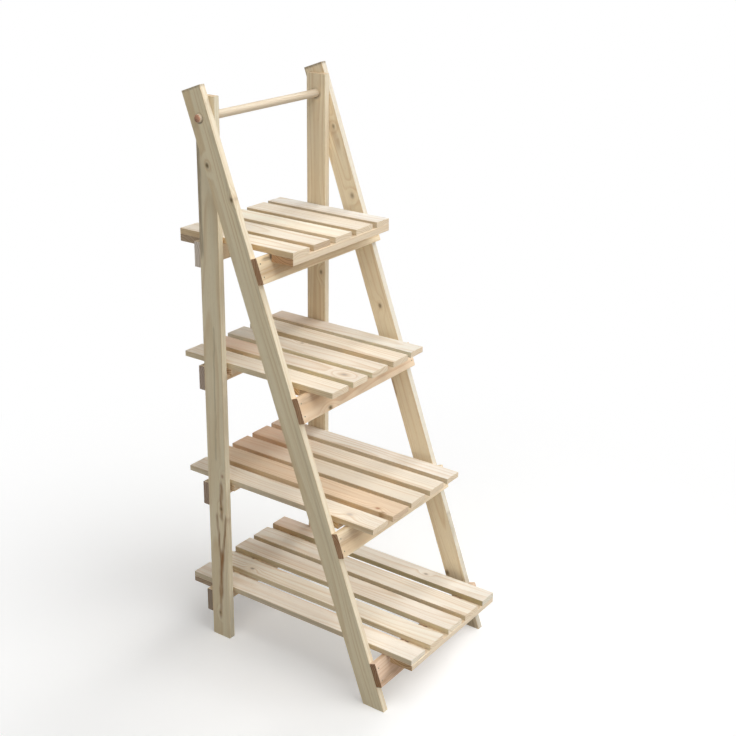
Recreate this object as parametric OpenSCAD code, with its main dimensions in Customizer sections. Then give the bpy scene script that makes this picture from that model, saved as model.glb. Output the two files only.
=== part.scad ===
// Folding ladder stand for potted plants, in millimetres. Two leaning front legs turn on a round dowel
// that is fixed in two upright rear legs. Four slatted shelves rest loose on bearers between the legs.
// X runs along the hinge, the front is -Y and Z is up. The origin is on the floor, under the middle
// of the stand's outline. Left and right are as seen from the front.

/* [Stand] */
// Width over the two front legs
stand_w = 350; // [330:5:400]
// Height to the highest corner of the front legs
stand_h = 1090; // [1070:5:1130]
// Lean of the front legs from upright, in degrees
lean = 20.1; // [19.5:0.1:20.6]
// Radius that the boards' long edges are eased to
ease_r = 1; // [0.5:0.1:2]

/* [Legs] */
// Width of a leg, seen from the side
leg_w = 44; // [40:1:46]
// Thickness of a leg
leg_t = 13; // [12:0.5:14]
// Length of a front leg past the hinge
front_leg_past = 52.3; // [40:0.1:60]
// Length of a rear leg past the hinge
rear_leg_past = 36.5; // [30:0.1:50]
// Side gap between a front leg and the rear leg beside it
leg_gap = 0.6; // [0.4:0.1:1]
// Radius of the corners at a rear leg's foot
foot_r = 3; // [1:0.5:6]

/* [Hinge dowel] */
// Diameter of the dowel
dowel_d = 15; // [12:0.5:18]
// Length of the dowel outside each front leg
dowel_out = 5.5; // [3:0.5:10]
// Radius that the dowel's ends are rounded to
dowel_end_r = 2.5; // [1:0.5:5]
// Gap all round between the dowel and a front leg
dowel_clearance = 0.05; // [0.02:0.01:0.1]

/* [Bearers] */
// Height of a bearer
bearer_h = 47; // [40:1:48]
// Thickness of a bearer
bearer_t = 13; // [11:0.5:13]

/* [Shelves] */
// Height of each shelf's top, from the top shelf down
shelf_tops = [820, 582.5, 344, 107]; // [100:0.5:830]
// Depth of each shelf, from the top shelf down
shelf_depths = [260, 345, 435, 525]; // [250:5:550]
// Width of a shelf
shelf_w = 288; // [286:0.5:290]
// How far the shelves sit to the right of the middle
shelf_shift = 3; // [0:0.5:3]
// How far the shelves reach behind the hinge's axis
rear_reach = 87; // [85:0.5:90]
// Thickness of a slat
slat_t = 11; // [8:0.5:12]
// Width of a cleat
cleat_w = 47.5; // [44:0.5:48]
// Thickness of each shelf's cleats, from the top shelf down
cleat_thicknesses = [13, 12, 12, 10.5]; // [9:0.5:13]
// Gap between an inner cleat and the rear bearer behind it
rear_cleat_gap = 0.5; // [0.4:0.1:2]
// Gap between an inner cleat and the front bearer before it, which lets the stand fold
front_cleat_gap = 10; // [10:0.5:14]

/* [Nails and screws] */
// Length of a nail
nail_l = 38; // [30:1:40]
// Diameter of a nail
nail_d = 1.8; // [1.4:0.1:2.2]
// Diameter of a nail's head
nail_head_d = 2.6; // [2.4:0.1:4]
// Length of a screw
screw_l = 18; // [16:0.5:20]
// Diameter of a screw
screw_d = 3; // [2.5:0.1:3.5]
// Diameter of a screw's head
screw_head_d = 6; // [5:0.1:7]

/* [Hidden] */
$fn = 48;

levels = ["top", "upper", "lower", "bottom"];
sides = ["left", "right"];
slats_per_shelf = 5;

// Gaps between the slats of each shelf: where each starts, from the shelf's left side, and its width
slat_gaps = [
    [[46, 14], [107.5, 14.5], [170.5, 15], [236.5, 12.5]],
    [[47, 15], [106, 14], [169, 18], [235, 12.5]],
    [[47, 15], [112.5, 12], [171.5, 15], [234, 14]],
    [[45, 16.5], [106.5, 18], [171.5, 12], [230, 17.5]]
];
// How far each slat's front end is set back from the end of its shelf, taken in turn
slat_setbacks = [0, 1.5, 0.5, 1, 0.2];
// The shelves whose cleats lie outside the bearers. The others have them inside
cleats_outside = [true, false, false, true];

hinge_y = max(shelf_depths) / 2 - rear_reach;
hinge_z = stand_h - front_leg_past * cos(lean) - leg_w / 2 * sin(lean);
front_leg_x = stand_w / 2 - leg_t;
rear_leg_x = front_leg_x - leg_gap - leg_t;
rear_end_y = hinge_y + rear_reach;
shelf_x = shelf_shift - shelf_w / 2;
head_proud = 0.15;
nail_head_t = 0.8;
nail_point_l = 3;
nails_apart = 24;
screw_point_l = 5;
recess_w = 0.9;
recess_l = 3.4;
recess_depth = 1.2;
overlap = 1;

// Height of the underside of the slats of shelf s
function underside(s) = shelf_tops[s] - slat_t;
// Top of the front bearer of shelf s, measured along the front legs from the hinge. Its front edge
// carries the slats
function front_bearer_top(s) =
    (underside(s) - hinge_z - (leg_w / 2 + bearer_t) * sin(lean)) / cos(lean);
// Rearmost place of the front bearer of shelf s, at its top edge
function front_bearer_back_y(s) = hinge_y + front_bearer_top(s) * sin(lean) - leg_w / 2 * cos(lean);
function shelf_front_y(s) = rear_end_y - shelf_depths[s];
function front_cleat_y(s) =
    cleats_outside[s] ? shelf_front_y(s) : front_bearer_back_y(s) + front_cleat_gap;
function rear_cleat_y(s) =
    (cleats_outside[s] ? rear_end_y : hinge_y + leg_w / 2 - rear_cleat_gap) - cleat_w;
function slat_left(s, i) = i == 0 ? 0 : slat_gaps[s][i - 1][0] + slat_gaps[s][i - 1][1];
function slat_right(s, i) = i == slats_per_shelf - 1 ? shelf_w : slat_gaps[s][i][0];
function slat_middle(s, i) = shelf_x + (slat_left(s, i) + slat_right(s, i)) / 2;

leg_colour = [0.93, 0.84, 0.70];
bearer_colour = [0.90, 0.79, 0.66];
slat_colour = [0.97, 0.90, 0.80];
cleat_colour = [0.88, 0.76, 0.62];
dowel_colour = [0.87, 0.68, 0.55];
steel_colour = [0.62, 0.62, 0.60];

// A rectangle with its corners rounded to the easing radius
module eased(size) {
    translate([ease_r, 0]) square([size.x - 2 * ease_r, size.y]);
    translate([0, ease_r]) square([size.x, size.y - 2 * ease_r]);
    for (x = [ease_r, size.x - ease_r])
        for (y = [ease_r, size.y - ease_r])
            translate([x, y]) circle(ease_r);
}

// Boards of a given size along X, Y and Z, with their corner at the origin and long edges eased
module board_x(size) {
    rotate([90, 0, 90]) linear_extrude(size.x) eased([size.y, size.z]);
}
module board_y(size) {
    translate([0, size.y, 0]) rotate([90, 0, 0]) linear_extrude(size.y) eased([size.x, size.z]);
}
module board_z(size) {
    linear_extrude(size.z) eased([size.x, size.y]);
}

// Places its children at the hinge, with Z along the front legs
module on_front_frame() {
    translate([0, hinge_y, hinge_z]) rotate([-lean, 0, 0]) children();
}

// A bore of radius r along X, through the hinge's axis
module hinge_bore(r) {
    rotate([0, 90, 0]) cylinder(h = 2 * stand_w, r = r, center = true);
}

// The left leg's place, or its mirror image for the right leg
module on_side(side) {
    mirror([side == "left" ? 0 : 1, 0, 0]) children();
}

module front_leg(side) {
    leg_l = hinge_z / cos(lean) + leg_w;
    color(leg_colour) on_side(side) difference() {
        on_front_frame() difference() {
            translate([-stand_w / 2, -leg_w / 2, -leg_l])
                board_z([leg_t, leg_w, leg_l + front_leg_past]);
            hinge_bore(dowel_d / 2 + dowel_clearance);
        }
        translate([-stand_w, -stand_h, -stand_h]) cube([2 * stand_w, 2 * stand_h, stand_h]);
    }
}

// A leg seen from the side, with round corners at its foot
module rear_leg_outline() {
    translate([-leg_w / 2, foot_r]) square([leg_w, hinge_z + rear_leg_past - foot_r]);
    translate([foot_r - leg_w / 2, 0]) square([leg_w - 2 * foot_r, foot_r + overlap]);
    for (y = [foot_r - leg_w / 2, leg_w / 2 - foot_r])
        translate([y, foot_r]) circle(foot_r);
}

module rear_leg(side) {
    color(leg_colour) on_side(side) translate([-rear_leg_x - leg_t, hinge_y, 0]) difference() {
        intersection() {
            translate([0, -leg_w / 2, 0]) board_z([leg_t, leg_w, hinge_z + rear_leg_past]);
            translate([-overlap, 0, 0]) rotate([90, 0, 90])
                linear_extrude(leg_t + 2 * overlap) rear_leg_outline();
        }
        translate([0, 0, hinge_z]) hinge_bore(dowel_d / 2);
    }
}

// Half of the dowel's section along its length, with a rounded end
module dowel_outline() {
    half_l = stand_w / 2 + dowel_out;
    square([dowel_d / 2, half_l - dowel_end_r]);
    square([dowel_d / 2 - dowel_end_r, half_l]);
    intersection() {
        translate([dowel_d / 2 - dowel_end_r, half_l - dowel_end_r]) circle(dowel_end_r);
        square([dowel_d / 2, half_l]);
    }
}

module hinge_dowel() {
    color(dowel_colour) translate([0, hinge_y, hinge_z]) rotate([0, 90, 0]) rotate_extrude() {
        dowel_outline();
        mirror([0, 1]) dowel_outline();
    }
}

module front_bearer(s) {
    color(bearer_colour) on_front_frame()
        translate([-stand_w / 2, -leg_w / 2 - bearer_t, front_bearer_top(s) - bearer_h])
            board_x([stand_w, bearer_t, bearer_h]);
}

module rear_bearer(s) {
    rear_w = 2 * (rear_leg_x + leg_t);
    color(bearer_colour) translate([-rear_w / 2, hinge_y + leg_w / 2, underside(s) - bearer_h])
        board_x([rear_w, bearer_t, bearer_h]);
}

module slat(s, i) {
    setback = slat_setbacks[(i + 2 * s) % len(slat_setbacks)];
    width = slat_right(s, i) - slat_left(s, i);
    color(slat_colour)
        translate([shelf_x + slat_left(s, i), shelf_front_y(s) + setback, underside(s)])
            board_y([width, shelf_depths[s] - setback, slat_t]);
}

module cleat(s, y) {
    color(cleat_colour) translate([shelf_x, y, underside(s) - cleat_thicknesses[s]])
        board_x([shelf_w, cleat_w, cleat_thicknesses[s]]);
}

// A nail along -Z, with the underside of its head at the origin's level
module nail() {
    cylinder(h = head_proud, d = nail_head_d);
    translate([0, 0, -nail_head_t]) cylinder(h = nail_head_t, d = nail_head_d);
    translate([0, 0, nail_point_l - nail_l]) cylinder(h = nail_l - nail_point_l, d = nail_d);
    translate([0, 0, -nail_l]) cylinder(h = nail_point_l, d1 = nail_d / 4, d2 = nail_d);
}

// Places a nail at each of the two heights of a bearer, with Z measured from the bearer's top
module nail_pair() {
    for (z = [-1, 1]) translate([0, 0, (z * nails_apart - bearer_h) / 2]) children();
}

module front_bearer_nails() {
    face_y = -leg_w / 2 - bearer_t;
    color(steel_colour) on_front_frame()
        for (s = [0:len(levels) - 1]) for (x = [-1, 1])
            translate([x * (front_leg_x + leg_t / 2), face_y, front_bearer_top(s)])
                nail_pair() rotate([90, 0, 0]) nail();
}

module rear_bearer_nails() {
    face_y = hinge_y + leg_w / 2 + bearer_t;
    color(steel_colour)
        for (s = [0:len(levels) - 1]) for (x = [-1, 1])
            translate([x * (rear_leg_x + leg_t / 2), face_y, underside(s)])
                nail_pair() rotate([-90, 0, 0]) nail();
}

// A countersunk screw along +Z, with a cross recess in its head at the bottom
module screw() {
    head_h = (screw_head_d - screw_d) / 2;
    difference() {
        union() {
            translate([0, 0, -head_proud]) cylinder(h = head_proud + 0.3, d = screw_head_d);
            translate([0, 0, 0.3]) cylinder(h = head_h, d1 = screw_head_d, d2 = screw_d);
            cylinder(h = screw_l - screw_point_l, d = screw_d);
            translate([0, 0, screw_l - screw_point_l])
                cylinder(h = screw_point_l, d1 = screw_d, d2 = screw_d / 5);
        }
        for (turn = [0, 90]) rotate([0, 0, turn])
            translate([-recess_l / 2, -recess_w / 2, -overlap])
                cube([recess_l, recess_w, overlap + recess_depth]);
    }
}

module shelf_screws(s) {
    color(steel_colour)
        for (y = [front_cleat_y(s), rear_cleat_y(s)]) for (i = [0:slats_per_shelf - 1])
            translate([slat_middle(s, i), y + cleat_w / 2, underside(s) - cleat_thicknesses[s]])
                screw();
}

for (side = sides) {
    front_leg(side);
    rear_leg(side);
}
hinge_dowel();
front_bearer_nails();
rear_bearer_nails();
for (s = [0:len(levels) - 1]) {
    front_bearer(s);
    rear_bearer(s);
    cleat(s, front_cleat_y(s));
    cleat(s, rear_cleat_y(s));
    shelf_screws(s);
    for (i = [0:slats_per_shelf - 1])
        slat(s, i);
}
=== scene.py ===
import math
import random

import bpy
from mathutils import Matrix, Vector

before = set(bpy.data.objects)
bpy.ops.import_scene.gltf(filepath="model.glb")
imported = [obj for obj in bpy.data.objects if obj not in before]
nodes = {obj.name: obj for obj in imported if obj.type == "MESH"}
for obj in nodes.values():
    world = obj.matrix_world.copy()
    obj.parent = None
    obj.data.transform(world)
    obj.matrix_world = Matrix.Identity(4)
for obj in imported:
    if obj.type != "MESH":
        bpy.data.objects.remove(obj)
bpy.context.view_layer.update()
scene = bpy.context.scene

# ---------------------------------------------------------------- camera
# Side of the square picture and focal length in pixels, place in metres, and in degrees
# the heading from +Y towards +X, the look downwards and the roll.
IMAGE_PX = 736
FOCAL_PX = 1280.7
CAMERA_PLACE = (-1.7794, -1.3051, 1.4479)
CAMERA_YAW = 54.964
CAMERA_PITCH = 21.780
CAMERA_ROLL = 0.815
SENSOR_MM = 36.0

# ---------------------------------------------------------------- light and floor
# name, direction towards the lamp, strength, angle in degrees
LAMPS = (
    ("key", (0.00, -0.70, 0.72), 1.02, 60.0),
    ("key_right", (0.35, -0.65, 0.65), 0.98, 60.0),
    ("right", (0.85, -0.10, 0.50), 1.30, 28.0),
    ("left", (-0.85, -0.30, 0.45), 0.60, 40.0),
    ("back", (0.25, 0.95, 0.18), 0.45, 40.0),
)
# a square panel over the stand: its place, what it shines at, side length and watts
PANEL = ((-0.30, -0.60, 2.40), (0.00, 0.00, 0.60), 1.00, 7.2)
WHITE = (1, 1, 1, 1)
SKY_STRENGTH = 0.02  # what the white background sends to the stand
FLOOR_SEEN = ((234, 234, 233), (240, 240, 239))  # the two colours that the camera sees
FLOOR_BOUNCE = (0.5, 0.5, 0.5, 1.0)  # the colour for light thrown back at the stand
FLOOR_LIFT = 0.27  # the glow added where it is seen
FLOOR_FADE = (0.40, 1.40)  # metres from the middle over which it fades to white
FLOOR_REACH = 30.0  # metres from the middle to its sides
FLOOR_GRAIN = (35.0, 4.0, 0.6)  # how often it changes in a metre, detail and roughness
FLOOR_ROUGHNESS = 0.9

# ---------------------------------------------------------------- boards
LEAN = math.radians(20.1)
X = Vector((1, 0, 0))
Y = Vector((0, 1, 0))
Z = Vector((0, 0, 1))
UP_LEG = Vector((0, math.sin(LEAN), math.cos(LEAN)))
OUT_LEG = Vector((0, -math.cos(LEAN), math.sin(LEAN)))
HINGE = Vector((0, 0.1755, 1.033325))
# each kind of board by the word in its nodes' names: along it, across it and through it
AXES = {
    "front_leg": (UP_LEG, OUT_LEG, X),
    "rear_leg": (Z, Y, X),
    "front_bearer": (X, UP_LEG, OUT_LEG),
    "rear_bearer": (X, Z, Y),
    "slat": (Y, X, Z),
    "cleat": (X, Y, Z),
    "dowel": (X, Y, Z),
}
# every board is a little paler or darker than the next, and a little warmer: its blue loses
# WARM, and its green this part of it
PALE = (0.985, 1.015)
WARM = (0.0, 0.03)
WARM_GREEN = 0.4
# a node's place in the list of names is added to these
TINT_SEED = 100
GRAIN_SEED = 300
NO_TINT = (1, 1, 1)
# boards that differ more from their neighbours, as factors for red, green and blue
TINTS = {
    # the two far legs are lightened here: painted light, for the light the shelves throw onto their
    # inner faces
    "front_leg_right": (1.09, 1.09, 1.15),
    "rear_leg_right": (1.05, 1.03, 1.05),
    "hinge_dowel": (0.81, 0.81, 0.81),
    "bottom_front_bearer": (1.01, 0.95, 0.97),
    "bottom_rear_bearer": (1.18, 1.16, 1.10),
    "top_front_bearer": (1.10, 1.13, 1.07),
    "upper_front_bearer": (1.11, 1.07, 1.03),
    "lower_front_bearer": (1.09, 1.12, 1.09),
    "top_rear_bearer": (0.80, 0.78, 0.74),
    "lower_shelf_slat_2": (0.93, 0.81, 0.70),
    "lower_shelf_slat_3": (0.96, 0.95, 0.93),
    "lower_shelf_slat_5": (1.04, 1.06, 1.11),
    "bottom_shelf_slat_1": (1.04, 1.05, 1.08),
    "bottom_shelf_slat_2": (1.03, 1.06, 1.08),
    "bottom_shelf_slat_3": (1.02, 1.03, 1.06),
    "bottom_shelf_slat_4": (1.03, 1.05, 1.08),
    "bottom_shelf_slat_5": (1.04, 1.07, 1.12),
    "top_shelf_slat_3": (1.12, 1.14, 1.12),
    "top_shelf_slat_5": (1.02, 1.07, 1.16),
    "upper_shelf_slat_2": (0.93, 0.92, 0.93),
    "upper_shelf_slat_3": (0.96, 0.96, 0.97),
    "upper_shelf_slat_5": (0.97, 1.01, 1.06),
}
# more factors for the sawn sides, which on a leg are its front and rear
SIDE_TINTS = {
    "front_leg_left": (0.95, 0.96, 1.05),
    "front_leg_right": (0.87, 0.94, 1.10),
    "rear_leg_left": (0.91, 0.95, 1.03),
    "rear_leg_right": (0.96, 1.00, 1.08),
    # on the slats these factors change the painted shade on their sides in the gaps, slat by slat
    "top_shelf_slat_1": (1.16, 1.09, 0.98),
    "top_shelf_slat_3": (1.04, 1.07, 1.18),
    "upper_shelf_slat_1": (1.09, 1.09, 1.05),
    "upper_shelf_slat_2": (1.16, 1.28, 1.28),
    "upper_shelf_slat_3": (1.20, 1.31, 1.36),
    "upper_shelf_slat_5": (1.14, 1.27, 1.38),
    "lower_shelf_slat_2": (1.12, 1.16, 1.22),
    "bottom_shelf_slat_1": (0.90, 0.90, 0.88),
    "bottom_shelf_slat_2": (1.19, 1.24, 1.29),
    "bottom_shelf_slat_3": (0.96, 0.98, 0.93),
    "bottom_shelf_slat_5": (0.73, 0.72, 0.59),
}
# factors for the cut ends, which the boards' own tints leave as they are
END_TINTS = {
    "top_rear_bearer": (2.00, 2.40, 2.75),
    "upper_rear_bearer": (1.22, 1.32, 1.42),
    "bottom_rear_bearer": (0.88, 0.94, 0.94),
    "bottom_front_bearer": (0.72, 0.70, 0.68),
    "top_shelf_front_cleat": (1.14, 1.18, 1.18),
    "top_shelf_rear_cleat": (1.00, 1.32, 1.72),
    "upper_shelf_front_cleat": (1.45, 1.85, 2.10),
    "upper_shelf_rear_cleat": (1.25, 1.55, 1.90),
    "lower_shelf_front_cleat": (1.40, 1.85, 2.10),
    "lower_shelf_rear_cleat": (1.45, 2.00, 2.60),
    "bottom_shelf_front_cleat": (0.97, 1.12, 1.14),
    "bottom_shelf_rear_cleat": (0.86, 1.14, 1.50),
    "top_shelf_slat_2": (0.73, 0.67, 0.62),
    "upper_shelf_slat_2": (1.10, 1.12, 1.14),
    "lower_shelf_slat_2": (0.84, 0.77, 0.73),
    "bottom_shelf_slat_1": (1.00, 1.10, 1.24),
    "bottom_shelf_slat_3": (1.08, 1.16, 1.26),
    "bottom_shelf_slat_5": (0.97, 1.08, 1.22),
}

# ---------------------------------------------------------------- wood in detail
# Noise in the wood: how often it changes in a metre along and across the grain, then its
# detail and roughness.
WAVER = (2.0, 8.0)
FIBRE = (10.0, 640.0, 3.0, 0.6)
CLOUD = (5.0, 46.0, 3.0, 0.55)
BANDS = (0.9, 60.0, 2.0, 0.5)
PORES = (60.0, 1500.0, 1.0)
WOBBLE = (26.0, 60.0)
RAGGED = (30.0, 420.0)
# The same for noise that is alike in all directions.
SPECKLE = (1500.0, 2.0)
SCUFF = (130.0, 3.0)
# Between which of its values each noise takes effect.
CLOUD_RANGE = (0.3, 0.7)
TONE_RANGE = (0.25, 0.75)
BAND_RANGE = (0.48, 0.78)
PORE_RANGE = (0.66, 0.74)
SPECKLE_RANGE = (0.35, 0.65)
SCUFF_RANGE = (0.38, 0.62)
RAGGED_RANGE = (0.30, 0.60)
# How far each board's noise is moved at the most, along it and for its rings' spacing.
GRAIN_SHIFT = 50
SPACING_SHIFT = 90

# The rings lie round a pith line: how far it is aside, in half widths of LEAST_HALF metres or
# more, how far off through the thickness in metres, and how much it slopes.
PITH_ASIDE = 1.4
LEAST_HALF = 0.012
PITH_OFF = (0.025, 0.08)
PITH_SLOPE = 0.018
RING_WAVER = 0.022  # metres that the rings waver along a board
RING_CHANGE = 95.0  # how often in a metre their spacing changes
RING_UNEVEN = 2.2  # by how many rings
RING_SHAPE = ((0.0, 0.0), (0.5, 0.15), (0.84, 1.0), (0.93, 0.55), (1.0, 0.0))

# what counts as a cut end and a sawn side, as cosines to the board's axes
CUT_FACING = (0.55, 0.85)
SIDE_FACING = (0.6, 0.9)
# length to width of a knot, and of the place where the rings bend round it
KNOT_STRETCH = 1.35
BEND_STRETCH = 1.9
BEND_REACH = 4.5  # radii
BEND_PUSH = 1.7  # radii
# where a knot, its halo and a line fade, in radii or half widths
KNOT_FADE = (0.15, 1.45)
HALO_FADE = (0.8, 2.8)
HALO_SHARE = 0.38
LINE_FADE = (0.3, 1.9)
LINE_TAPER = 0.3  # how much a distance along the board counts, which draws out a line's ends
LINE_WOBBLE = 0.006  # metres
KNOT_WOBBLE = 0.25  # of a line's
# how much of a mark shows at the least where it is ragged, and the metres by which the
# border of a slat's painted rear shade and of a grey end is jagged
RAGGED_LEAST = 0.55
RAGGED_MIDDLE = 0.6
JAG = 0.05
# metres over which the painted shadow round the dowel fades upwards, and how much is left above
DOWEL_SHADOW_FADE = (-0.006, 0.008)
DOWEL_SHADOW_ABOVE = 0.25
# metres over which the rubbed colour of the long edges fades, and its share
EDGE_FADE = (0.0004, 0.0024)
EDGE_SHARE = 0.35
# painted shade: the dowel's ends darken downwards and backwards, as a lit rounded end does: metres
# over which, and the two factors
DOWEL_END_SHADE = (-0.007, 0.009, 1.25, 0.55)

# how much of the late wood's colour the rings give where the wood is calm and where it is
# clouded, and what fibres, bands and pores add
RING_CLEAR = (0.35, 1.1)
FIBRE_SHARE = 0.8
BAND_SHARE = 0.55
PORE_SHARE = 0.25
SPECKLE_SHARE = 0.35
CLOUD_TONE = (0.94, 1.03)  # brightness between a board's clouds and in them
LATE_ROUGHER = 0.12
WOOD_SPECULAR = 0.35
# the bump: its metres and strength, how high the fibres stand and how deep late wood lies in it
WOOD_BUMP = (0.00035, 0.5)
FIBRE_HEIGHT = 0.8
LATE_DEPTH = 0.4
STEEL_SPOTS = 900.0  # how often the steel's spots change in a metre
STEEL_ROUGHNESS = (0.45, 0.62)
STEEL_BUMP = (0.00008, 0.4)


def srgb(r, g, b):
    """A colour written 0 to 255 as a linear RGBA."""
    def lin(v):
        v /= 255
        return v / 12.92 if v <= 0.04045 else ((v + 0.055) / 1.055) ** 2.4
    return (lin(r), lin(g), lin(b), 1.0)


def look(early, late, end, end_late, ring=0.0042, clear=0.75, rough=0.62, side=NO_TINT):
    """One kind of board: colours between rings and in them, on its length and on its cut ends,
    the width of a ring in metres, how clearly it shows, the roughness, and factors for the
    colour of the sawn sides."""
    return dict(early=srgb(*early), late=srgb(*late), end=srgb(*end), end_late=srgb(*end_late),
                ring=ring, clear=clear, rough=rough, side=side)


LOOKS = {
    "front_leg": look(
        (244, 230, 196), (218, 190, 144), (222, 200, 164), (184, 148, 108), 0.0050, 0.60),
    "rear_leg": look(
        (244, 230, 197), (216, 188, 143), (228, 208, 176), (190, 156, 116), 0.0052, 0.60),
    "front_bearer": look((241, 221, 194), (222, 190, 152), (196, 160, 122), (150, 104, 72)),
    "rear_bearer": look((241, 223, 196), (220, 190, 152), (182, 160, 140), (138, 112, 92)),
    # the slats' sides are darker: painted shade in the gaps between them
    "slat": look((248, 238, 221), (225, 200, 167), (244, 226, 200), (222, 198, 164),
                 side=(0.80, 0.75, 0.64)),
    "cleat": look((243, 226, 200), (226, 198, 162), (206, 164, 122), (158, 110, 74)),
    "dowel": look(
        (246, 230, 204), (230, 200, 164), (222, 172, 140), (180, 122, 92), 0.0030, 0.5, 0.5),
}
MARK_COLOURS = {
    "knot": srgb(106, 84, 48),
    "red": srgb(170, 108, 72),
    "grey": srgb(172, 158, 150),
    # besides resin streaks and pores, this colour paints shade on the bearers under the shelves
    "streak": srgb(156, 112, 68),
    # the next four colours are painted shade: in soft and dark lines, round the dowel, and at the
    # slats' rear ends
    "soft_shade_line": srgb(150, 132, 98),
    "dark_shade_line": srgb(128, 112, 92),
    "rim": srgb(128, 112, 92),
    "rear_shade": srgb(234, 186, 148),
    "grey_end": srgb(206, 200, 188),
}
HALO = srgb(206, 172, 128)
RUBBED = srgb(226, 202, 166)
ZINC = (srgb(146, 134, 114), srgb(178, 166, 144))

# Marks by board, in metres along it and across it, from the hinge axis on the legs
# and from the row's origin on the others:
# a knot is (kind, along, across, radius, strength),
# a line, whether a resin streak or a line of painted shade, is (kind, along, across, along, across,
# half width, strength), the painted shadow round the dowel is (kind, along, across, radius, reach,
# strength), and painted shade at a slat's rear end, like a grey end, grows from nothing at the
# second place along the board
# to full strength at the first: (kind, along, along, strength).
KNOTS = ("knot", "red", "grey")
# the streak kind is resin streaks and, on the bearers, painted shade under the shelves; the other
# two lines are painted shade
LINES = ("streak", "soft_shade_line", "dark_shade_line")
# the first reach is painted shade at a slat's rear end; the grey end is the wood's own colour
REACHES = ("rear_shade", "grey_end")
MARKS = {
    "front_leg_left": (
        # painted shadow round the dowel's end
        ("rim", 0.0, 0.0, 0.0076, 0.0036, 0.9),
        ("knot", -0.079, -0.0137, 0.0036, 0.9), ("knot", -0.146, 0.0180, 0.0036, 0.9),
        # painted shade: a dark line across the top end and two soft strips near the front edge
        ("dark_shade_line", 0.0518, -0.0220, 0.0518, 0.0220, 0.0008, 0.5),
        ("soft_shade_line", -0.030, 0.0170, -0.330, 0.0180, 0.0030, 0.16),
        ("soft_shade_line", -0.560, 0.0120, -0.800, 0.0080, 0.0030, 0.15)),
    "rear_leg_left": (
        # painted shade: a strip down the rear edge below the hinge, and a soft line lower down
        ("dark_shade_line", -0.045, 0.0190, -0.236, 0.0185, 0.0042, 0.65),
        ("soft_shade_line", -0.385, -0.0040, -0.640, 0.0010, 0.0018, 0.35),
        ("red", -0.676, -0.0139, 0.0032, 0.6),
        ("streak", -0.700, -0.0100, -0.760, -0.0085, 0.0030, 0.85),
        ("knot", -0.747, -0.0084, 0.0034, 0.8),
        ("streak", -0.768, 0.0030, -0.863, -0.0050, 0.0024, 0.85),
        ("streak", -0.768, -0.0190, -0.863, -0.0080, 0.0024, 0.85),
        ("streak", -0.855, -0.0066, -0.930, -0.0016, 0.0040, 0.95),
        ("streak", -0.930, -0.0016, -0.985, 0.0025, 0.0026, 0.6),
        ("knot", -0.981, 0.0025, 0.0032, 0.6)),
    "front_leg_right": (
        # painted shadow round the dowel's end
        ("rim", 0.0, 0.0, 0.0076, 0.0036, 0.7),
        # painted shade along the top end and down the rear edge below it
        ("dark_shade_line", 0.0518, -0.0220, 0.0518, 0.0220, 0.0009, 0.75),
        ("dark_shade_line", 0.0450, -0.0222, -0.0120, -0.0222, 0.0014, 0.6),
        ("streak", -0.072, 0.0030, -0.092, 0.0060, 0.0060, 0.35),
        ("knot", -0.068, 0.0085, 0.0034, 0.55),
        ("streak", -0.110, -0.0150, -0.132, -0.0180, 0.0018, 0.25),
        ("knot", -0.203, 0.0076, 0.0046, 0.6),
        ("knot", -0.422, 0.0008, 0.0036, 0.7),
        ("streak", -0.573, -0.0200, -0.598, -0.0200, 0.0022, 0.6),
        # painted shade on the lower front face, under the shelves
        ("soft_shade_line", -0.860, 0.0235, -1.110, 0.0235, 0.0014, 0.45),
        ("knot", -0.984, -0.0170, 0.0050, 0.8),
        # painted shadow on the foot, under the bottom shelf
        ("dark_shade_line", -1.072, 0.0, -1.110, 0.0, 0.0200, 0.6)),
    "rear_leg_right": (
        # painted shadow round the dowel where it meets the leg
        ("rim", 0.0, 0.0, 0.0076, 0.0060, 0.8),
        ("knot", -0.350, -0.0121, 0.0036, 0.7)),
    "top_front_bearer": (
        # painted shade under the cleat and slats: a darker band, and a dark spot where the cleat
        # meets the bearer
        ("streak", -0.155, 0.751, -0.085, 0.749, 0.0090, 0.42),
        ("dark_shade_line", -0.152, 0.7722, -0.138, 0.7722, 0.0025, 0.7)),
    "upper_front_bearer": (
        # painted shade under the slats' overhang
        ("streak", -0.155, 0.5175, -0.100, 0.5165, 0.0065, 0.45),
        ("knot", -0.0975, 0.4835, 0.0042, 0.95)),
    # painted shade under the shelves' overhang on these two bearers
    "lower_front_bearer": (("streak", -0.155, 0.2545, -0.100, 0.2545, 0.0075, 0.45),),
    "bottom_front_bearer": (("streak", -0.155, -0.0190, -0.085, -0.0190, 0.0075, 0.60),),
    # the warm reaches on these slats are painted shade at their rear ends, under the shelf above
    "upper_shelf_slat_2": (("grey", -0.046, -0.058, 0.0050, 0.7), ("rear_shade", 0.262, 0.06, 0.5)),
    "upper_shelf_slat_3": (
        ("knot", 0.113, 0.023, 0.0034, 0.4), ("grey_end", 0.262, 0.170, 0.6)),
    "upper_shelf_slat_5": (("rear_shade", 0.262, 0.02, 0.35),),
    "lower_shelf_slat_1": (("grey", -0.1045, -0.118, 0.0052, 0.5),),
    "lower_shelf_slat_2": (
        ("red", -0.132, -0.069, 0.0036, 0.85),
        ("streak", -0.148, -0.078, -0.140, -0.084, 0.0020, 0.7)),
    "lower_shelf_slat_3": (("rear_shade", 0.262, 0.05, 0.6),),
    "lower_shelf_slat_4": (("rear_shade", 0.262, 0.08, 0.7),),
    "lower_shelf_slat_5": (("rear_shade", 0.262, 0.16, 0.5),),
    "bottom_shelf_slat_2": (("knot", 0.1755, -0.065, 0.0034, 0.6),),
    "bottom_shelf_slat_5": (
        ("knot", -0.118, 0.127, 0.0032, 0.6), ("rear_shade", 0.262, 0.12, 0.4)),
}


# ---------------------------------------------------------------- materials
# the colour sockets of a Mix node
MIX_FACTOR, MIX_A, MIX_B, MIX_RESULT = 0, 6, 7, 2


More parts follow.
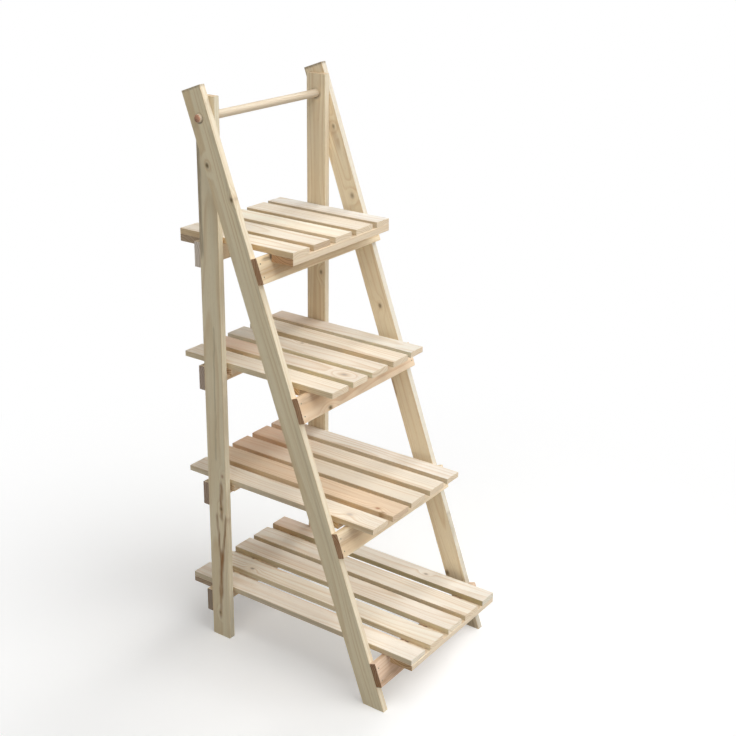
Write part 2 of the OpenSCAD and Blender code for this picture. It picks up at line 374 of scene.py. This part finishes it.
class Tree:
    """A material's node tree with short calls for the nodes used here."""

    def __init__(self, name):
        self.mat = bpy.data.materials.new(name)
        self.mat.use_nodes = True
        self.nodes = self.mat.node_tree.nodes
        self.links = self.mat.node_tree.links
        self.shader = self.nodes["Principled BSDF"]

    def put(self, socket, value):
        if isinstance(value, bpy.types.NodeSocket):
            self.links.new(value, socket)
        else:
            socket.default_value = value

    def put_in(self, socket_name, value):
        """Sets an input of the material's shader."""
        self.put(self.shader.inputs[socket_name], value)

    def math(self, op, a, b=None, c=None, clamp=False):
        n = self.nodes.new("ShaderNodeMath")
        n.operation = op
        n.use_clamp = clamp
        for socket, value in zip(n.inputs, (a, b, c)):
            if value is not None:
                self.put(socket, value)
        return n.outputs[0]

    def length(self, a, b):
        """How long a flat vector is, from its two parts."""
        return self.math(
            "SQRT", self.math("ADD", self.math("MULTIPLY", a, a), self.math("MULTIPLY", b, b)))

    def dot(self, vector, axis):
        n = self.nodes.new("ShaderNodeVectorMath")
        n.operation = "DOT_PRODUCT"
        self.put(n.inputs[0], vector)
        self.put(n.inputs[1], tuple(axis))
        return n.outputs["Value"]

    def vector(self, x, y, z):
        n = self.nodes.new("ShaderNodeCombineXYZ")
        for socket, value in zip(n.inputs, (x, y, z)):
            self.put(socket, value)
        return n.outputs[0]

    def noise(self, vector, scale, detail=2.0, rough=0.5):
        n = self.nodes.new("ShaderNodeTexNoise")
        self.put(n.inputs["Vector"], vector)
        n.inputs["Scale"].default_value = scale
        n.inputs["Detail"].default_value = detail
        n.inputs["Roughness"].default_value = rough
        return n.outputs["Fac"]

    def span(self, value, low, high, to_low=0.0, to_high=1.0, smooth=True):
        """Turns the range low to high into to_low to to_high, and holds it there."""
        n = self.nodes.new("ShaderNodeMapRange")
        n.interpolation_type = "SMOOTHSTEP" if smooth else "LINEAR"
        for socket, v in zip(n.inputs, (value, low, high, to_low, to_high)):
            self.put(socket, v)
        return n.outputs[0]

    def mix(self, fac, a, b, blend="MIX"):
        n = self.nodes.new("ShaderNodeMix")
        n.data_type = "RGBA"
        n.blend_type = blend
        self.put(n.inputs[MIX_FACTOR], fac)
        self.put(n.inputs[MIX_A], a)
        self.put(n.inputs[MIX_B], b)
        return n.outputs[MIX_RESULT]

    def ramp(self, fac, stops):
        n = self.nodes.new("ShaderNodeValToRGB")
        while len(n.color_ramp.elements) < len(stops):
            n.color_ramp.elements.new(0.5)
        for e, (place, value) in zip(n.color_ramp.elements, stops):
            e.position = place
            e.color = (value, value, value, 1)
        self.put(n.inputs[0], fac)
        return n.outputs[0]

    def bump(self, height, distance, strength):
        n = self.nodes.new("ShaderNodeBump")
        n.inputs["Strength"].default_value = strength
        n.inputs["Distance"].default_value = distance
        self.put(n.inputs["Height"], height)
        self.put_in("Normal", n.outputs[0])


class Board(Tree):
    """Solid pine: rings round a pith line beside the board, fibres along it, knots through it."""

    def __init__(self, name, axes, middle, half, seed):
        super().__init__(name)
        self.rng = random.Random(seed)
        self.half = half
        place = self.nodes.new("ShaderNodeTexCoord")
        self.point = place.outputs["Object"]
        along, across = [
            self.math("ABSOLUTE", self.dot(place.outputs["Normal"], axis)) for axis in axes[:2]]
        self.cut = self.span(along, *CUT_FACING)
        self.side = self.span(across, *SIDE_FACING)
        # the place along, across and through the board, from its middle
        self.abc = [
            self.math("SUBTRACT", self.dot(self.point, axis), m) for axis, m in zip(axes, middle)]
        self.colour = None
        self.push = 0.0

    def grained(self, along, across, detail=2.0, rough=0.5):
        """Noise drawn out along the grain, with its own seeded place."""
        a, b, c = self.abc
        shift = self.rng.uniform(-GRAIN_SHIFT, GRAIN_SHIFT)
        place = self.vector(
            self.math("MULTIPLY_ADD", a, along, shift),
            self.math("MULTIPLY", b, across), self.math("MULTIPLY", c, across))
        return self.noise(place, 1.0, detail, rough)

    def spot(self, along, across, stretch):
        """Distance from a line through the board's thickness, shortened along the grain."""
        a, b, _ = self.abc
        da = self.math("DIVIDE", self.math("SUBTRACT", a, along), stretch)
        db = self.math("SUBTRACT", b, across)
        return self.length(da, db)

    def stroke(self, a0, b0, a1, b1, wobble):
        """Distance from a line along the board, a little wavering and with drawn-out ends."""
        a, b, _ = self.abc
        da, db = a1 - a0, b1 - b0
        whole = da * da + db * db
        pa = self.math("SUBTRACT", a, a0)
        pb = self.math("ADD", self.math("SUBTRACT", b, b0), wobble)
        part = self.math(
            "MULTIPLY_ADD", pa, da / whole, self.math("MULTIPLY", pb, db / whole), clamp=True)
        ea = self.math("MULTIPLY_ADD", part, -da, pa)
        eb = self.math("MULTIPLY_ADD", part, -db, pb)
        return self.length(self.math("MULTIPLY", ea, LINE_TAPER), eb)

    def rings(self, spacing):
        """Growth rings, 0 in early wood and 1 in late wood."""
        a, b, c = self.abc
        rng = self.rng
        side = rng.choice((-1, 1))
        aside = rng.uniform(-PITH_ASIDE, PITH_ASIDE) * max(self.half[1], LEAST_HALF)
        rb = self.math("SUBTRACT", b, aside)
        rc = self.math("SUBTRACT", c, side * rng.uniform(*PITH_OFF))
        r = self.length(rb, rc)
        r = self.math("MULTIPLY_ADD", a, rng.uniform(-PITH_SLOPE, PITH_SLOPE), r)
        slow = self.math("SUBTRACT", self.grained(*WAVER), 0.5)
        r = self.math("MULTIPLY_ADD", slow, RING_WAVER, r)
        r = self.math("ADD", r, self.push)
        shift = rng.uniform(0, SPACING_SHIFT)
        where = self.vector(self.math("MULTIPLY", r, RING_CHANGE), shift, 0.0)
        uneven = self.noise(where, 1.0, 1.0)
        turn = self.math("MULTIPLY_ADD", uneven, RING_UNEVEN, self.math("DIVIDE", r, spacing))
        return self.ramp(self.math("FRACT", turn), RING_SHAPE)

    def over(self, mask, colour):
        """Lays a colour over the board where the mask says."""
        self.colour = self.mix(mask, self.colour, colour)

    def times(self, colour, factor, mask=1.0):
        """A colour multiplied by another where the mask says."""
        return self.mix(mask, colour, factor, "MULTIPLY")


def bend_rings(t, marks):
    """Knots push the rings aside."""
    for kind, *v in marks:
        if kind in KNOTS:
            along, across, radius, _ = v
            far = t.spot(along, across, BEND_STRETCH)
            push = t.span(far, 0.0, radius * BEND_REACH, radius * BEND_PUSH, 0.0)
            t.push = t.math("ADD", push, t.push)


def paint(t, marks):
    """Knots, resin streaks, greyer ends, and painted shade: in lines, round the dowel and at the
    slats' rear ends.
    """
    wobble = t.math("MULTIPLY", t.math("SUBTRACT", t.grained(*WOBBLE), 0.5), LINE_WOBBLE)
    ragged = t.span(t.grained(*RAGGED), *RAGGED_RANGE, RAGGED_LEAST, 1.0)
    for kind, *v in marks:
        colour = MARK_COLOURS[kind]
        # painted shade at a slat's rear end, and grey ends
        if kind in REACHES:
            full, none, strength = v
            jagged = t.math("SUBTRACT", ragged, RAGGED_MIDDLE)
            mask = t.span(
                t.math("MULTIPLY_ADD", jagged, JAG, t.abc[0]), none, full, 0.0, strength)
            t.over(t.math("MULTIPLY", mask, t.math("MULTIPLY_ADD", ragged, 0.5, 0.5)), colour)
        # resin streaks, and lines of painted shade
        elif kind in LINES:
            *ends, width, strength = v
            near, far = [width * part for part in LINE_FADE]
            mask = t.span(t.stroke(*ends, wobble), near, far, strength, 0.0)
            t.over(t.math("MULTIPLY", mask, ragged), colour)
        # painted shadow round the dowel, full below it and weaker above
        elif kind == "rim":
            along, across, radius, reach, strength = v
            below = t.span(t.math("SUBTRACT", t.abc[0], along), *DOWEL_SHADOW_FADE, 1.0, DOWEL_SHADOW_ABOVE)
            mask = t.span(t.spot(along, across, 1.0), radius, radius + reach, strength, 0.0)
            t.over(t.math("MULTIPLY", mask, below), colour)
        else:
            along, across, radius, strength = v
            d = t.spot(along, across, KNOT_STRETCH)
            d = t.math("MULTIPLY_ADD", wobble, KNOT_WOBBLE, d)
            for fade, share, shade in ((HALO_FADE, HALO_SHARE, HALO), (KNOT_FADE, 1.0, colour)):
                near, far = [radius * part for part in fade]
                t.over(t.span(d, near, far, strength * share, 0.0), shade)


def lengthwise(t, style, ring, fibre, tint, side_tint):
    """The board's colour on its faces and sides, and how much of it is late wood."""
    cloud = t.grained(*CLOUD)
    bands = t.grained(*BANDS)
    pores = t.span(t.grained(*PORES), *PORE_RANGE)

    clear = [part * style["clear"] for part in RING_CLEAR]
    late = t.math("MULTIPLY", ring, t.span(cloud, *CLOUD_RANGE, *clear))
    late = t.math("MULTIPLY_ADD", t.math("SUBTRACT", fibre, 0.5), FIBRE_SHARE, late, clamp=True)
    t.colour = t.mix(late, style["early"], style["late"])
    t.over(t.span(bands, *BAND_RANGE, 0.0, BAND_SHARE), style["late"])
    t.over(t.math("MULTIPLY", pores, PORE_SHARE), MARK_COLOURS["streak"])
    tone = t.span(cloud, *TONE_RANGE, *CLOUD_TONE, smooth=False)
    tone = t.vector(*[t.math("MULTIPLY", tone, part) for part in tint])
    t.colour = t.times(t.colour, tone)
    # on the slats the side factors are painted shade in the gaps between them
    side = tuple(a * b for a, b in zip(style["side"], side_tint))
    if side != NO_TINT:
        t.colour = t.times(t.colour, (*side, 1), t.side)
    return late


def cut_ends(t, kind, style, ring, end_tint):
    """Open end grain with the rings across it."""
    ends = t.mix(ring, style["end"], style["end_late"])
    speckle = t.span(t.noise(t.point, *SPECKLE), *SPECKLE_RANGE, 0.0, SPECKLE_SHARE)
    ends = t.mix(speckle, ends, style["end_late"])
    ends = t.times(ends, (*end_tint, 1))
    # painted shade: the dowel's ends darker downwards and backwards
    if kind == "dowel":
        down_and_back = t.math("SUBTRACT", t.abc[1], t.abc[2])
        ends = t.times(ends, t.span(down_and_back, *DOWEL_END_SHADE))
    t.over(t.cut, ends)


def rub_edges(t):
    """The long edges are a little rubbed."""
    near_b = t.math("SUBTRACT", t.half[1], t.math("ABSOLUTE", t.abc[1]))
    near_c = t.math("SUBTRACT", t.half[2], t.math("ABSOLUTE", t.abc[2]))
    edge = t.span(t.math("MAXIMUM", near_b, near_c), *EDGE_FADE, 1.0, 0.0)
    scuff = t.span(t.noise(t.point, *SCUFF), *SCUFF_RANGE)
    t.over(t.math("MULTIPLY", t.math("MULTIPLY", edge, scuff), EDGE_SHARE), RUBBED)


def wood(name, kind, axes, middle, half, seed, marks, tones):
    t = Board(name, axes, middle, half, seed)
    style = LOOKS[kind]
    tint, side_tint, end_tint = tones
    bend_rings(t, marks)
    ring = t.rings(style["ring"])
    fibre = t.grained(*FIBRE)
    late = lengthwise(t, style, ring, fibre, tint, side_tint)
    cut_ends(t, kind, style, ring, end_tint)
    if marks:
        paint(t, marks)
    rub_edges(t)

    t.put_in("Base Color", t.colour)
    t.put_in("Roughness", t.math("MULTIPLY_ADD", late, LATE_ROUGHER, style["rough"]))
    t.put_in("Specular IOR Level", WOOD_SPECULAR)
    sunk = t.math("MULTIPLY", ring, -LATE_DEPTH)
    t.bump(t.math("MULTIPLY_ADD", fibre, FIBRE_HEIGHT, sunk), *WOOD_BUMP)
    return t.mat


def steel(name, number):
    """Dull zinc-coated steel with faint mottling, a little different for each number."""
    t = Tree(name)
    point = t.nodes.new("ShaderNodeTexCoord").outputs["Object"]
    spots = t.noise(point, STEEL_SPOTS + number, 3.0, 0.6)
    t.put_in("Base Color", t.mix(spots, *ZINC))
    t.put_in("Metallic", 1.0)
    t.put_in("Roughness", t.span(spots, 0.3, 0.7, *STEEL_ROUGHNESS))
    t.bump(spots, *STEEL_BUMP)
    return t.mat


def board_frame(obj, axes):
    """Middle and half sizes of a board along its own three axes."""
    spans = []
    for axis in axes:
        reach = [v.co.dot(axis) for v in obj.data.vertices]
        spans.append((min(reach), max(reach)))
    middle = [(low + high) / 2 for low, high in spans]
    half = [(high - low) / 2 for low, high in spans]
    return middle, half


def local_marks(name, axes, middle):
    """A board's marks measured from its own middle."""
    zero = HINGE if "leg" in name else Vector((0, 0, 0))
    da = zero.dot(axes[0]) - middle[0]
    db = zero.dot(axes[1]) - middle[1]
    moved = []
    for kind, *v in MARKS.get(name, ()):
        if kind in REACHES:
            moved.append((kind, v[0] + da, v[1] + da, v[2]))
        elif kind in LINES:
            moved.append((kind, v[0] + da, v[1] + db, v[2] + da, v[3] + db, *v[4:]))
        else:
            moved.append((kind, v[0] + da, v[1] + db, *v[2:]))
    return moved


def board_tint(name, seed):
    """A board's factors for red, green and blue, with its own small difference."""
    rng = random.Random(seed)
    pale = rng.uniform(*PALE)
    warm = rng.uniform(*WARM)
    red, green, blue = TINTS.get(name, NO_TINT)
    return (red * pale, green * pale * (1 - WARM_GREEN * warm), blue * pale * (1 - warm))


def dress(name, mat):
    """Gives a CAD node its finish."""
    for s in nodes[name].material_slots:
        s.material = mat


def dress_all():
    for i, name in enumerate(sorted(nodes)):
        if "nails" in name or "screws" in name:
            dress(name, steel("steel_" + name, i))
            continue
        kind = next(kind for kind in AXES if kind in name)
        axes = AXES[kind]
        middle, half = board_frame(nodes[name], axes)
        tones = (
            board_tint(name, TINT_SEED + i),
            SIDE_TINTS.get(name, NO_TINT), END_TINTS.get(name, NO_TINT))
        marks = local_marks(name, axes, middle)
        dress(name, wood("pine_" + name, kind, axes, middle, half, GRAIN_SEED + i, marks, tones))


# ---------------------------------------------------------------- stage
def seen_directly(tree):
    """1 for rays from the camera, glossy surfaces and clear ones, 0 for those that light things."""
    path = tree.nodes.new("ShaderNodeLightPath").outputs
    seen = path["Is Camera Ray"]
    for other in ("Is Glossy Ray", "Is Transmission Ray"):
        most = tree.nodes.new("ShaderNodeMath")
        most.operation = "MAXIMUM"
        tree.links.new(seen, most.inputs[0])
        tree.links.new(path[other], most.inputs[1])
        seen = most.outputs[0]
    return seen


def mix_surface(tree, output, part, first, second):
    """Shows the second shader by that part, and the first for the rest."""
    mixer = tree.nodes.new("ShaderNodeMixShader")
    tree.links.new(part, mixer.inputs[0])
    tree.links.new(first.outputs[0], mixer.inputs[1])
    tree.links.new(second.outputs[0], mixer.inputs[2])
    tree.links.new(mixer.outputs[0], tree.nodes[output].inputs["Surface"])


def floor_material():
    """Pale floor that keeps the soft shadow and fades to white away from the stand."""
    t = Tree("pale_floor")
    point = t.nodes.new("ShaderNodeTexCoord").outputs["Object"]
    grain = t.noise(point, *FLOOR_GRAIN)
    seen = seen_directly(t)
    pale = t.mix(grain, *[srgb(*colour) for colour in FLOOR_SEEN])
    t.put_in("Base Color", t.mix(seen, FLOOR_BOUNCE, pale))
    t.put_in("Roughness", FLOOR_ROUGHNESS)
    t.put_in("Specular IOR Level", 0.0)
    t.put_in("Emission Color", WHITE)
    t.put_in("Emission Strength", t.math("MULTIPLY", seen, FLOOR_LIFT))
    away = t.length(t.dot(point, X), t.dot(point, Y))
    white = t.nodes.new("ShaderNodeEmission")
    part = t.math("MULTIPLY", seen, t.span(away, *FLOOR_FADE))
    mix_surface(t, "Material Output", part, t.shader, white)
    return t.mat


def add_object(name, data):
    obj = bpy.data.objects.new(name, data)
    scene.collection.objects.link(obj)
    return obj


def add_floor():
    mesh = bpy.data.meshes.new("floor")
    low, high = -FLOOR_REACH, FLOOR_REACH
    corners = [(low, low, 0), (high, low, 0), (high, high, 0), (low, high, 0)]
    mesh.from_pydata(corners, [], [(0, 1, 2, 3)])
    mesh.materials.append(floor_material())
    add_object("floor", mesh)


def add_world():
    """A white background that lights the stand only a little."""
    world = bpy.data.worlds.new("studio")
    scene.world = world
    world.use_nodes = True
    tree = world.node_tree
    dim = tree.nodes["Background"]
    white = tree.nodes.new("ShaderNodeBackground")
    for shader, strength in ((dim, SKY_STRENGTH), (white, 1.0)):
        shader.inputs["Color"].default_value = WHITE
        shader.inputs["Strength"].default_value = strength
    mix_surface(tree, "World Output", seen_directly(tree), dim, white)


def aim(lamp, towards):
    """Turns a lamp so that it shines from that direction."""
    lamp.rotation_euler = Vector(towards).to_track_quat("Z", "Y").to_euler()


def add_lamps():
    for name, towards, strength, angle in LAMPS:
        sun = bpy.data.lights.new(name, "SUN")
        sun.energy = strength
        sun.angle = math.radians(angle)
        aim(add_object(name, sun), towards)
    place, target, side, watts = PANEL
    panel = bpy.data.lights.new("panel", "AREA")
    panel.shape = "SQUARE"
    panel.size = side
    panel.energy = watts
    lamp = add_object("panel", panel)
    lamp.location = place
    aim(lamp, Vector(place) - Vector(target))


def add_camera():
    yaw, pitch, roll = [math.radians(v) for v in (CAMERA_YAW, CAMERA_PITCH, CAMERA_ROLL)]
    forward = Vector((
        math.sin(yaw) * math.cos(pitch), math.cos(yaw) * math.cos(pitch), -math.sin(pitch)))
    level = Vector((math.cos(yaw), -math.sin(yaw), 0))
    upward = level.cross(forward)
    right = math.cos(roll) * level + math.sin(roll) * upward
    top = -math.sin(roll) * level + math.cos(roll) * upward
    data = bpy.data.cameras.new("camera")
    data.sensor_fit = "HORIZONTAL"
    data.sensor_width = SENSOR_MM
    data.lens = FOCAL_PX / IMAGE_PX * SENSOR_MM
    camera = add_object("camera", data)
    turn = Matrix((right, top, -forward)).transposed().to_4x4()
    camera.matrix_world = Matrix.Translation(CAMERA_PLACE) @ turn
    scene.camera = camera


dress_all()
add_floor()
add_world()
add_lamps()
add_camera()
scene.view_settings.view_transform = "Standard"

bpy.context.view_layer.update()
